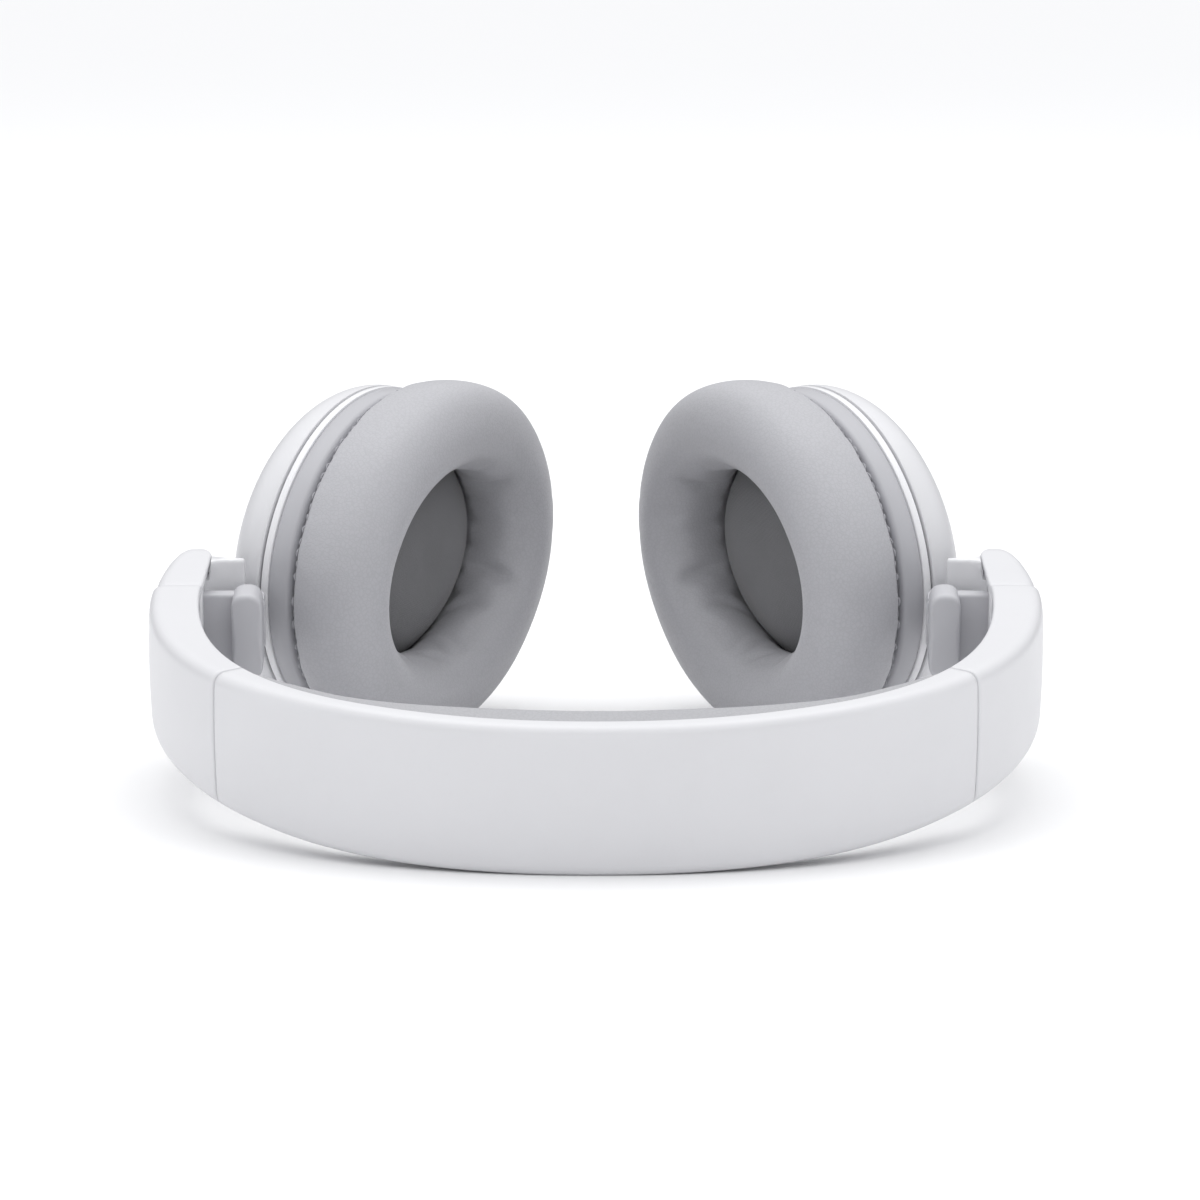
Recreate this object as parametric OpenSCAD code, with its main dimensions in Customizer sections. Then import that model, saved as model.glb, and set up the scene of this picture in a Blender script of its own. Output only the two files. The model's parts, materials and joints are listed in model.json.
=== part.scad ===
// Over-ear headphones: padded headband, sliding arms, swivelling and tilting ear cups.
// They lie on their side on a table. +X is the wearer's right, the crown points to -Y,
// and +Z is close to the wearer's front. Units are millimetres.

/* [Headband] */
// Greatest outside width of the headband
band_span = 178; // [176:0.5:180]
// Distance from the widest point of the headband to its crown
band_rise = 95; // [93:0.5:97]
// Squareness of the headband's arch, where 2 is an ellipse
band_power = 2.15; // [2.1:0.01:2.2]
// Front-to-back width of the headband at its crown
band_w = 28.8; // [28:0.2:30]
// Front-to-back width of the arms at the sliders
arm_w = 25; // [24.6:0.2:26]
// Wall thickness of the headband's shell
shell_t = 2; // [1.8:0.1:2.2]
// Depth of the shell's rims at the crown
rim_depth = 4.6; // [4.4:0.2:5]
// Depth of the arms at the sliders
arm_depth = 9.8; // [9.6:0.1:10]
// How far the padding stands out below the rims at the crown
pad_depth = 9.4; // [8.6:0.2:9.8]

/* [Ear cups] */
// Half height of the housing, along the wearer's up and down
cup_a = 44.3; // [44:0.1:44.6]
// Half width of the housing, front to back
cup_b = 35.4; // [35:0.1:36]
// Depth of the housing behind its seam
cup_depth = 15; // [14.6:0.1:15.2]
// Half height of the ear cushion at its fullest
cushion_a = 48.4; // [47.5:0.1:49]
// Half width of the ear cushion at its fullest
cushion_b = 37.6; // [37:0.1:38]
// Thickness of the ear cushion
cushion_t = 21; // [20:0.5:22]
// Half height of the opening for the ear
ear_a = 32; // [31:0.5:32.5]
// Half width of the opening for the ear
ear_b = 19.4; // [19:0.2:20.6]

/* [Joints] */
// Travel of each slider
slide_travel = 25; // [20:1:25]
// Radius of the swivel shaft
shaft_r = 2; // [1.9:0.05:2.1]
// Radius of the tilt pin
pin_r = 1.5; // [1.4:0.1:1.6]
// Radial clearance of the running fits
run_clear = 0.05; // [0.03:0.01:0.08]

/* [Hidden] */
// Angle by which the relaxed cups toe in
toe_in = 25;
// Angle of the sliders to the midline
arm_tilt = 1.8;
// Where the cups' centres and the tilt pins are, on the left
cup_x = -44.6;
cup_y = 51.8;
hinge_x = -71;
hinge_y = 7;
// The tilt pin as seen from the cup: inwards, and down
hinge_t = -4.993;
hinge_u = -51.76;
// Centre of the slider strip, outwards of the tilt pin
strip_x = -11.35;
strip_t = 1.5;
strip_w = 14;
// Where the arch is widest, and where the arms end at the sliders
arch_y = -10;
arm_end_y = -9;
// Angles along the arch, from the crown, of the shell's seams and the padding's ends
seam_th = 52.6;
pad_th = 58;
// How far the padding stands out towards its ends
pad_end = 5;
// The lean that rests the crown's rim and both cushions on the table
rim_y = arch_y - band_rise + 2.4;
rest_y = cup_y - 11 * sin(toe_in);
span_y = rest_y - rim_y;
low_z = norm([cushion_a * cos(toe_in) * 0.16, cushion_b * 0.987]);
lean = asin(low_z / norm([span_y, band_w / 2])) - atan(band_w / 2 / span_y);
rest_h = band_w / 2 * cos(lean) - rim_y * sin(lean);
mid_y = 5.13;
loop_n = 64;
// Screws of the cup, as [down, forwards]
cup_screws = [[24, 17], [24, -17], [-24, 17], [-24, -17]];
// Where the housing meets the baffle, and the ports and buttons behind that
seam_t = -7.3;
port_t = -12.2;
button_t = -11.4;

white = [0.90, 0.90, 0.92];
grey = [0.66, 0.66, 0.69];
dark = [0.30, 0.30, 0.32];
steel = [0.72, 0.73, 0.75];

// ---- Frames ----

module lay() translate([0, mid_y, rest_h]) rotate([lean, 0, 0]) children();
module left() lay() children();
module right() lay() mirror([1, 0, 0]) children();
module arm_frame() translate([hinge_x, hinge_y, 0]) rotate([0, 0, arm_tilt]) children();
module cup_frame() translate([cup_x, cup_y, 0]) rotate([0, 0, -toe_in]) children();

// ---- Curves and shells ----

function signed_pow(v, p) = sign(v) * pow(abs(v), p);
// A point on the headband's outer face, at an angle from the crown, left being negative
function arch(th) = [band_span / 2 * signed_pow(sin(th), 2 / band_power),
    arch_y - band_rise * pow(max(cos(th), 0), 2 / band_power)];
// The direction from that point towards the head
function arch_in(th) = let (a = min(max(abs(th), 0.4), 89.5), p = arch(a - 0.4), q = arch(a + 0.4),
    d = (q - p) / norm(q - p)) [-sign(th) * d[1], d[0]];
function arch_pt(th, d, z) = let (p = arch(th), n = arch_in(th)) [p[0] + n[0] * d, p[1] + n[1] * d, z];
function ease(v) = let (c = min(max(v, 0), 1)) c * c * (3 - 2 * c);
function width_at(th) = band_w + (arm_w - band_w) * ease((abs(th) - 20) / 60);
function depth_at(th) = rim_depth + (arm_depth - rim_depth) * ease((abs(th) - 30) / 55);

// A channel's section as [depth, z]: its outer face, and then its inside coming back
function channel(w, d, t, floor) = let (h = w / 2, g = h - t) [[d, -h], [2.4, -h], [0.7, -h + 1],
    [0, -h + 3.4], [-0.35, 0], [0, h - 3.4], [0.7, h - 1], [2.4, h], [d, h],
    [d, g], [floor + 0.9, g], [floor + 0.4, g - 0.5], [floor, g - 1.8], [floor, 0],
    [floor, -g + 1.8], [floor + 0.4, -g + 0.5], [floor + 0.9, -g], [d, -g]];

// Joins equal sections, each listed there and back, into a closed solid
module loft(sections) {
    n = len(sections[0]);
    k = len(sections);
    m = n / 2;
    points = [for (s = sections) each s];
    walls = [for (j = [0:k - 2]) for (i = [0:n - 1])
        let (a = j * n + i, b = j * n + (i + 1) % n) each [[a, b, b + n], [a, b + n, a + n]]];
    start = [for (i = [0:m - 2]) each [[i, n - 2 - i, i + 1], [i, n - 1 - i, n - 2 - i]]];
    last = (k - 1) * n;
    end = [for (i = [0:m - 2]) each [[last + i, last + i + 1, last + n - 2 - i],
        [last + i, last + n - 2 - i, last + n - 1 - i]]];
    polyhedron(points, concat(walls, start, end));
}

function oval(t, a, b) = [for (i = [0:loop_n - 1]) let (w = 360 * i / loop_n)
    [t, a * cos(w), b * sin(w)]];

// A closed ring from a profile of [inwards, half height, half width]
module oval_ring(profile) {
    n = loop_n;
    k = len(profile);
    points = [for (p = profile) each oval(p[0], p[1], p[2])];
    faces = [for (j = [0:k - 1]) for (i = [0:n - 1]) let (a = j * n, b = ((j + 1) % k) * n, i2 = (i + 1) % n)
        each [[a + i, b + i, b + i2], [a + i, b + i2, a + i2]]];
    polyhedron(points, faces);
}

// A closed bowl whose profile starts and ends on its centre line
module oval_bowl(profile) {
    n = loop_n;
    k = len(profile) - 2;
    points = concat([for (j = [1:k]) each oval(profile[j][0], profile[j][1], profile[j][2])],
        [[profile[0][0], 0, 0], [profile[k + 1][0], 0, 0]]);
    first = [for (i = [0:n - 1]) [k * n, i, (i + 1) % n]];
    walls = [for (j = [0:k - 2]) for (i = [0:n - 1]) let (a = j * n, b = a + n, i2 = (i + 1) % n)
        each [[a + i, b + i, b + i2], [a + i, b + i2, a + i2]]];
    last = [for (i = [0:n - 1]) [k * n + 1, (k - 1) * n + (i + 1) % n, (k - 1) * n + i]];
    polyhedron(points, concat(first, walls, last));
}

// A flat oval plate, facing inwards
module oval_plate(t0, t1, a, b) translate([t0, 0, 0]) rotate([90, 0, 90]) linear_extrude(t1 - t0)
    polygon([for (i = [0:loop_n - 1]) [a * cos(360 * i / loop_n), b * sin(360 * i / loop_n)]]);

module rod_x(r, x0, x1, fn = 48) translate([x0, 0, 0]) rotate([0, 90, 0])
    cylinder(r = r, h = x1 - x0, $fn = fn);
module rod_y(r, y0, y1, fn = 48) translate([0, y1, 0]) rotate([90, 0, 0])
    cylinder(r = r, h = y1 - y0, $fn = fn);
module rod_z(r, z0, z1, fn = 48) translate([0, 0, z0]) cylinder(r = r, h = z1 - z0, $fn = fn);
module box(lo, hi) translate(lo) cube(hi - lo);

// A box with its four edges along the given axis rounded
module slab_x(lo, hi, r) translate([lo[0], (lo[1] + hi[1]) / 2, (lo[2] + hi[2]) / 2])
    rotate([90, 0, 90]) linear_extrude(hi[0] - lo[0]) rounded(hi[1] - lo[1], hi[2] - lo[2], r);
module slab_y(lo, hi, r) translate([(lo[0] + hi[0]) / 2, hi[1], (lo[2] + hi[2]) / 2])
    rotate([90, 0, 0]) linear_extrude(hi[1] - lo[1]) rounded(hi[0] - lo[0], hi[2] - lo[2], r);
module rounded(w, h, r) {
    square([w - 2 * r, h], center = true);
    square([w, h - 2 * r], center = true);
    for (sx = [-1, 1], sy = [-1, 1]) translate([sx * (w / 2 - r), sy * (h / 2 - r)]) circle(r = r, $fn = 24);
}

// A pan-head screw pointing along -X, its head's underside at x = 0
module screw_x(r, length) {
    rod_x(r, -length, 0.02, 24);
    difference() {
        rod_x(r * 1.9, 0, r * 1.1, 24);
        for (a = [0, 90]) rotate([a, 0, 0]) box([r * 0.5, -r * 1.1, -0.25], [r * 2, r * 1.1, 0.25]);
    }
}

// ---- Headband ----

module headband_shell() color(white) lay()
    loft([for (i = [-24:24]) let (th = i / 24 * (seam_th - 0.12))
        [for (p = channel(width_at(th), depth_at(th), shell_t, shell_t)) arch_pt(th, p[0], p[1])]]);

module headband_pad() color(grey) lay()
    loft([for (i = [-24:24]) let (th = i / 24 * pad_th, w = width_at(th) / 2, h = w - shell_t - 0.15,
        d = depth_at(th), s = 1 - 0.8 * pow(abs(i) / 24, 6), g = 0.5 + (1 - s) * 2.5,
        b = (pad_depth - (pad_depth - pad_end) * ease((abs(th) - 6) / 30)) * s)
        [for (p = [[d + 0.02, -h], [d + 0.25, -w + g], [d + b * 0.7, -w + g], [d + b * 0.92, -w + g + 2.6],
            [d + b, 0], [d + b * 0.92, w - g - 2.6], [d + b * 0.7, w - g], [d + 0.25, w - g], [d + 0.02, h],
            [d - 1.4, h], [d - 1.4, h - 0.5], [d - 1.5, h - 1], [d - 1.5, h - 4], [d - 1.5, 0],
            [d - 1.5, -h + 4], [d - 1.5, -h + 1], [d - 1.4, -h + 0.5], [d - 1.4, -h]]) arch_pt(th, p[0], p[1])]]);

module spring_band() color(steel) lay()
    loft([for (i = [-24:24]) let (th = i / 24 * 65)
        [for (p = [[2.2, -7], [2.2, 7], [3.0, 7], [3.0, -7]]) arch_pt(th, p[0], p[1])]]);

module arm_cover() color(white)
    loft([for (i = [0:12]) let (th = -seam_th - 0.12 - i / 12 * (89.6 - seam_th))
        [for (p = channel(width_at(th), depth_at(th), shell_t, shell_t)) arch_pt(th, p[0], p[1])]]);

// Where the arm's screws go: their heads' undersides, pointing outwards along -X
module arm_screw_places() for (z = [-5, 5]) translate(arch_pt(-64, depth_at(64) - 2.1, z))
    rotate([0, 0, atan2(arch_in(-64)[1], arch_in(-64)[0])]) children();

module inner_cover() color(grey) difference() {
    loft([for (i = [0:10]) let (th = -pad_th - 0.3 - i / 10 * (89.4 - pad_th), d = depth_at(th),
        h = width_at(th) / 2 - shell_t - 0.1)
        [for (p = [[d - 1.5, -h], [d - 1.5, 0], [d - 1.5, h], [d - 0.2, h], [d - 0.2, 0], [d - 0.2, -h]])
            arch_pt(th, p[0], p[1])]]);
    arm_screw_places() rod_x(1.85, -1, 3, 24);
}

module arm_screws() color(steel) arm_screw_places() screw_x(0.85, 2.7);

module band_anchor() color(dark) difference() {
    arm_screw_places() box([-2.9, -2.8, -3], [-0.02, 2.8, 3]);
    arm_screw_places() rod_x(0.9, -4, 1, 24);
}

module rail_guide() color(dark) arm_frame() difference() {
    box([-14, -32, -8.6], [-10.7, -17.2, 8.6]);
    box([-12.2, -33, -7.1], [-10, -17, 7.1]);
    box([-15, -28.5, -3.2], [-12, -20.5, 3.2]);
}

module detent_spring() color(steel) arm_frame() {
    box([-14.6, -31, -2.8], [-14.05, -18.5, 2.8]);
    translate([-14.05, -24.5, 0]) rod_z(1.6, -2.8, 2.8, 32);
}

module slider_strip() color(steel) arm_frame() difference() {
    slab_x([strip_x - strip_t / 2, -51, -strip_w / 2], [strip_x + strip_t / 2, 0, strip_w / 2], 2.5);
    for (y = [-46:3:-19]) translate([0, y, 0]) rod_x(0.9, -13, -11.6, 24);
}

// The slider's rounded end, as [down, outer face, inner edge, width]
tip_rows = [[-16.6, -17.8, -8.6, 24.2], [-12, -17.9, -8.4, 24.2], [-6, -17.5, -8.2, 24.1],
    [-1, -16.9, -8, 24], [3, -16.3, -7.9, 24], [6, -15.6, -7.8, 24], [8.5, -14.9, -8.4, 23.9],
    [10.5, -14.2, -9.2, 23.3], [12.2, -13.5, -9.8, 22], [13.4, -13, -10.1, 20], [14.2, -12.9, -10.2, 17.6]];

module slider_tip() color(white) arm_frame()
    loft([for (r = tip_rows) let (d = r[2] - r[1], w = ease((r[0] - 3) / 6))
        [for (p = channel(r[3], d, 1.8, 1.8 * (1 - w) + (d - 1) * w)) [r[1] + p[0], r[0], p[1]]]]);

// Carries the strip, the swivel's bearing and the wall that closes the arm's end round the hinge
module hanger() color(white) arm_frame() difference() {
    union() {
        slab_x([-10.2, -16.4, -9.2], [-8.9, 5.3, 9.2], 2);
        box([-13, -16.2, -8.3], [-10.2, 3.4, 8.3]);
        box([-9, -9.4, -6.2], [-3, -5.6, 6.2]);
        slab_y([-3.3, -14, -9], [3.3, -5, 9], 3);
        box([-9, 4, -9.2], [-7.4, 5.3, 9.2]);
        slab_y([-7.7, 4, -11.3], [-1, 5.3, 11.3], 1.5);
    }
    rod_y(shaft_r + run_clear, -12.6, -4);
    rod_y(5.4, 3.8, 6);
    box([-2.9, -9.95, -2.9], [3.4, -9.05, 2.9]);
    box([strip_x - strip_t / 2 - 0.02, -17, -7.02], [strip_x + strip_t / 2 + 0.02, 0.02, 7.02]);
    for (z = [-5, 5]) translate([0, 2.2, z]) rod_x(0.95, -14, -8, 24);
}

module hanger_screws() color(steel) arm_frame()
    for (z = [-5, 5]) translate([-8.9, 2.2, z]) screw_x(0.9, 4);

// A fork for the tilt pin, on the swivel's shaft
module knuckle() color(white) arm_frame() difference() {
    union() {
        rod_y(shaft_r, -12.4, -4);
        slab_y([-3.4, -4.9, -5.2], [3.4, -3.5, 5.2], 1.2);
        for (z = [-5.2, 2.8]) {
            box([-3.2, -3.6, z], [3.2, 0, z + 2.4]);
            rod_z(3.2, z, z + 2.4);
        }
    }
    rod_z(pin_r + run_clear, -6, 6);
    difference() {
        rod_y(4, -9.9, -9.1);
        rod_y(1.4, -11, -8);
    }
}

// The clip that slides through the hanger into the shaft's groove
module knuckle_clip() color(steel) arm_frame() difference() {
    rod_y(2.8, -9.85, -9.15);
    rod_y(1.45, -11, -8);
    box([-4, -11, -1.3], [0, -8, 1.3]);
}

module tilt_pin() color(steel) arm_frame() rod_z(pin_r, -5.4, 5.4);

// ---- Ear cups, in a frame with +X towards the ear and +Y down ----

function dome(rows, a, b, t0, depth) = [for (r = rows) [t0 - depth * r[0], a * r[1], b * r[1]]];
dome_rows = [[1, 0], [0.995, 0.27], [0.965, 0.5], [0.89, 0.68], [0.755, 0.82], [0.56, 0.915],
    [0.31, 0.975], [0.12, 0.997], [0, 1]];
inner_rows = [for (i = [8:-1:0]) dome_rows[i]];

module housing_shell() oval_bowl(concat(dome(dome_rows, cup_a, cup_b, seam_t, cup_depth - 0.4),
    dome(inner_rows, cup_a - 2, cup_b - 2, seam_t, cup_depth - 2.2)));

module housing(buttons) color(white) cup_frame() difference() {
    union() {
        housing_shell();
        for (p = cup_screws) translate([0, p[0], p[1]]) rod_x(2.6, -18.6, seam_t - 0.05, 32);
    }
    for (p = cup_screws) translate([0, p[0], p[1]]) rod_x(0.95, -13.5, -6, 24);
    box([-11.6, -47, -2.85], [-6, -38.5, 2.85]);
    for (u = buttons) translate([button_t, u, 0]) rod_z(2.5, -37, -25, 32);
    translate([port_t, 0, 16.5]) rod_y(1.45, 33, 45, 24);
}

module left_housing() left() difference() {
    housing([-6, 6]);
    cup_frame() {
        translate([port_t, 0, 8.5]) rod_y(3.35, 30, 47);
        slab_y([port_t - 1.7, 33, -12.3], [port_t + 1.7, 47, -3.7], 1.6);
        translate([port_t, 0, 1.2]) rod_y(0.9, 34, 47, 24);
    }
}

module right_housing() right() housing([-11, 0, 11]);

// A lug round the tilt pin that hooks into the housing
module cup_bracket() color(steel) cup_frame() {
    translate([0, 0, -2.65]) linear_extrude(5.3) difference() {
        union() {
            translate([hinge_t, hinge_u]) circle(r = 3.2, $fn = 48);
            polygon([[-7.95, -53], [-2.25, -50.1], [-3.1, -48.7], [-7.4, -46.4], [-7.4, -36.2], [-11.4, -36.2],
                [-11.4, -45.4]]);
        }
        translate([hinge_t, hinge_u]) circle(r = pin_r, $fn = 48);
    }
    box([-11.3, -38.2, -8], [-7.5, -36.1, 8]);
}

module baffle() color(white) cup_frame() difference() {
    union() {
        oval_plate(-6.8, -5.2, cup_a - 0.1, cup_b - 0.1);
        oval_plate(seam_t, -6.75, cup_a - 1.3, cup_b - 1.3);
        oval_plate(-5.25, -4, 35.8, 25.8);
    }
    rod_x(20.2, -8, -3, 72);
    for (p = cup_screws) translate([0, p[0], p[1]]) rod_x(1.05, -8, -3, 24);
}

module cushion_ring() color(grey) cup_frame()
    oval_ring([[-5.2, cup_a - 0.4, cup_b - 0.4], [-1.2, cup_a - 0.3, cup_b - 0.3], [-0.05, cup_a - 1.2, cup_b - 1.2],
        [-0.05, 36.5, 26.5], [-1.2, 36, 26], [-5.2, 36, 26]]);

module cushion() color(grey) cup_frame()
    oval_ring([[0, 41.5, 32.8], [2.5, 44.6, 35.2], [6.5, 47.2, 36.9], [11, cushion_a, cushion_b],
        [15, 47.6, 36.9], [18.4, 45, 34.6], [cushion_t - 0.5, 41, 30.8], [cushion_t, 38, 26.8],
        [cushion_t - 1, 35, 23.1], [cushion_t - 4, ear_a + 0.8, ear_b + 0.8], [12, ear_a, ear_b],
        [7, ear_a + 0.5, ear_b + 0.5], [3, 33, 22.5], [0, 35.5, 25.5]]);

module driver_frame() color(dark) cup_frame() difference() {
    union() {
        rod_x(20, -11, -4, 72);
        rod_x(21.6, -4, -3.3, 72);
    }
    rod_x(18.4, -9.6, -3, 72);
    for (a = [0:60:300]) rotate([a, 0, 0]) translate([0, 14.5, 0]) rod_x(2.6, -12, -9, 32);
}

module driver_magnet() color(steel) cup_frame() {
    rod_x(11, -15, -11.02);
    rod_x(7, -15.6, -14.9);
}

module diaphragm() color(dark) cup_frame() rotate([0, 90, 0]) rotate_extrude($fn = 48)
    polygon([[0, -4.4], [4, -4.7], [7.2, -5.9], [8.4, -6.9], [15.4, -5.2], [16.8, -4.5], [18.3, -5.3],
        [18.3, -5.7], [16.8, -4.9], [15.4, -5.6], [8.4, -7.3], [6.8, -6.3], [3.8, -5.1], [0, -4.8]]);

module scrim() color(dark) cup_frame()
    oval_bowl([[8, 0, 0], [7.9, 13.8, 9.5], [7.4, 19.8, 13.6], [6.3, 24.8, 17], [4.3, 29.2, 20], [1.6, 32.6, 22.8],
        [-1.3, 35.4, 25.4], [-1.9, 35.4, 25.4], [0.9, 32.2, 22.4], [3.6, 28.7, 19.6], [5.6, 24.3, 16.6],
        [6.7, 19.5, 13.3], [7.2, 13.6, 9.3], [7.3, 0, 0]]);

module housing_screws() color(steel) cup_frame()
    for (p = cup_screws) translate([-4, p[0], p[1]]) screw_x(0.9, 8);

module mic_mesh() color(dark) cup_frame() translate([port_t, 0, 16.5]) rod_y(1.4, 34.8, 36.9, 24);

module battery() color(steel) left() cup_frame() slab_x([-12.4, -34, -12], [-8, -21.4, 12], 2);

module board(chips) {
    box([-8.2, 21.5, -12.5], [-7.4, 34, 12.5]);
    for (c = chips) box([-9.4, c[0], c[1]], [-8.18, c[0] + c[2], c[1] + c[3]]);
}

module charge_board() color(dark) left() cup_frame() board([[22.5, -11, 4, 4], [23, -3, 3, 5]]);

module main_board() color(dark) right() cup_frame()
    board([[22.5, -10, 6, 6], [23, 0, 4, 4], [29, -3, 3, 9]]);

module jack_socket() color(dark) left() cup_frame() translate([port_t, 0, 8.5]) difference() {
    rod_y(3.15, 26, 41);
    rod_y(1.8, 27, 42);
}

module usb_port() color(steel) left() cup_frame() {
    difference() {
        slab_y([port_t - 1.6, 33.2, -12.2], [port_t + 1.6, 40.8, -3.8], 1.5);
        slab_y([port_t - 1.25, 34.2, -11.85], [port_t + 1.25, 42, -4.15], 1.2);
    }
    box([port_t - 0.35, 34.1, -11], [port_t + 0.35, 40.2, -5]);
}

module status_lens() color([0.85, 0.9, 0.95]) left() cup_frame()
    translate([port_t, 0, 1.2]) rod_y(0.85, 38.6, 42.4, 24);

module button(u) color(grey) cup_frame() translate([button_t, u, 0]) {
    flange_z = 0.35 - 29.4 * sqrt(1 - pow((abs(u) + 3) / 37.5, 2));
    rod_z(2.4, -0.6 - (cup_b - 0.8) * sqrt(1 - pow(u / cup_a, 2)), flange_z + 0.1, 32);
    rod_z(2.9, flange_z, flange_z + 0.8, 32);
}
module power_button() left() button(-6);
module mode_button() left() button(6);
module volume_up_button() right() button(-11);
module play_button() right() button(0);
module volume_down_button() right() button(11);

headband_shell();
headband_pad();
spring_band();
left() arm_cover();  // left_arm_cover
right() arm_cover();  // right_arm_cover
left() inner_cover();  // left_inner_cover
right() inner_cover();  // right_inner_cover
left() rail_guide();  // left_rail_guide
right() rail_guide();  // right_rail_guide
left() detent_spring();  // left_detent_spring
right() detent_spring();  // right_detent_spring
left() band_anchor();  // left_band_anchor
right() band_anchor();  // right_band_anchor
left() arm_screws();  // left_arm_screws
right() arm_screws();  // right_arm_screws
left() slider_strip();  // left_slider_strip
right() slider_strip();  // right_slider_strip
left() slider_tip();  // left_slider_tip
right() slider_tip();  // right_slider_tip
left() hanger();  // left_hanger
right() hanger();  // right_hanger
left() hanger_screws();  // left_hanger_screws
right() hanger_screws();  // right_hanger_screws
left() knuckle();  // left_knuckle
right() knuckle();  // right_knuckle
left() knuckle_clip();  // left_knuckle_clip
right() knuckle_clip();  // right_knuckle_clip
left() tilt_pin();  // left_tilt_pin
right() tilt_pin();  // right_tilt_pin
left() cup_bracket();  // left_cup_bracket
right() cup_bracket();  // right_cup_bracket
left_housing();
right_housing();
left() baffle();  // left_baffle
right() baffle();  // right_baffle
left() cushion_ring();  // left_cushion_ring
right() cushion_ring();  // right_cushion_ring
left() cushion();  // left_cushion
right() cushion();  // right_cushion
left() driver_frame();  // left_driver_frame
right() driver_frame();  // right_driver_frame
left() driver_magnet();  // left_driver_magnet
right() driver_magnet();  // right_driver_magnet
left() diaphragm();  // left_diaphragm
right() diaphragm();  // right_diaphragm
left() scrim();  // left_scrim
right() scrim();  // right_scrim
left() housing_screws();  // left_housing_screws
right() housing_screws();  // right_housing_screws
left() mic_mesh();  // left_mic_mesh
right() mic_mesh();  // right_mic_mesh
battery();
charge_board();
jack_socket();
usb_port();
status_lens();
power_button();
mode_button();
main_board();
volume_up_button();
play_button();
volume_down_button();
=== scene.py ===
import json
import math

import bmesh
import bpy
import numpy as np
from mathutils import Matrix, Vector, noise


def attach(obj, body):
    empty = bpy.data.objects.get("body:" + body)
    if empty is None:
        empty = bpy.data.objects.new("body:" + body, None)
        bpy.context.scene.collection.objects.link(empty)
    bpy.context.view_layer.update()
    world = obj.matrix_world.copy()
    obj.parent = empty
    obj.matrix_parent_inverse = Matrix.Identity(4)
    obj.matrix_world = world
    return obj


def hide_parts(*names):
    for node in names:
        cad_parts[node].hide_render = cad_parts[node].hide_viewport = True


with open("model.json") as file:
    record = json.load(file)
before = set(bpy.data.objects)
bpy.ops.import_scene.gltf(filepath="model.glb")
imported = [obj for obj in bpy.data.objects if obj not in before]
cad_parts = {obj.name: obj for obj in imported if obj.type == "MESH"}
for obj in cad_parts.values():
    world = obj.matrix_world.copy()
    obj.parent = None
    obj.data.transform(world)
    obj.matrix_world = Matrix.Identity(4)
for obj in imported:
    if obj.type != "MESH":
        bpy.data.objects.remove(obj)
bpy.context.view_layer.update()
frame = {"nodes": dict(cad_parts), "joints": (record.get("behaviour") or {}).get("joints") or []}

SIDES = ("left", "right")
MM = 0.001

# ---------------------------------------------------------------- frames
# The design frame has the headband's middle plane at z = 0, in millimetres, with the left cup at -X.
# The row frame is the same thing leant over to lie on the table. The left tilt joint places one in the other.

joints = {j["name"]: j for j in frame["joints"]}
HINGE = Vector((-71.0, 7.0, 0.0))
tilt_axis = Vector(joints["left_tilt"]["axis"])
LEAN = math.atan2(-tilt_axis.y, tilt_axis.z)
TURN = Matrix.Rotation(LEAN, 4, "X")
hinge_row = Vector(joints["left_tilt"]["pos_m"])
LAY = Matrix.Translation(hinge_row - TURN @ (HINGE * MM)) @ TURN @ Matrix.Scale(MM, 4)
MIRROR = Matrix.Scale(-1, 4, Vector((1, 0, 0)))
ARM_TILT = math.radians(1.8)
TOE_IN = math.radians(25)
ARM = Matrix.Translation(HINGE) @ Matrix.Rotation(ARM_TILT, 4, "Z")
CUP = Matrix.Translation(Vector((-44.6, 51.8, 0.0))) @ Matrix.Rotation(-TOE_IN, 4, "Z")


def lay(side="left", local=None):
    """The matrix from a design frame, or a frame inside it, to the row frame."""
    m = LAY @ MIRROR if side == "right" else LAY.copy()
    return m @ local if local is not None else m


# ---------------------------------------------------------------- the headband's curve

SPAN, RISE, POWER, ARCH_Y = 178.0, 95.0, 2.15, -10.0
SEAM_TH, PAD_TH = 52.6, 58.0
BAND_W, ARM_W, SHELL_T = 28.8, 25.0, 2.0


def arch(th):
    a = math.radians(abs(th))
    x = SPAN / 2 * math.sin(a) ** (2 / POWER)
    y = ARCH_Y - RISE * max(math.cos(a), 0.0) ** (2 / POWER)
    return math.copysign(x, th), y


def arch_in(th):
    a = min(max(abs(th), 0.4), 89.5)
    p, q = arch(a - 0.4), arch(a + 0.4)
    dx, dy = q[0] - p[0], q[1] - p[1]
    n = math.hypot(dx, dy)
    return (-math.copysign(1, th) * dy / n if th else 0.0), dx / n


def arch_pt(th, d, z):
    p, n = arch(th), arch_in(th)
    return Vector((p[0] + n[0] * d, p[1] + n[1] * d, z))


def ease(v):
    v = min(max(v, 0.0), 1.0)
    return v * v * (3 - 2 * v)


def width_at(th):
    return BAND_W + (ARM_W - BAND_W) * ease((abs(th) - 20) / 60)


def depth_at(th):
    return RIM_CROWN + (ARM_DEPTH - RIM_CROWN) * ease((abs(th) - 30) / 55)


RIM_CROWN, ARM_DEPTH, PAD_DEPTH, PAD_END = 4.6, 9.8, 9.4, 5.0

# ---------------------------------------------------------------- mesh helpers


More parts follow.
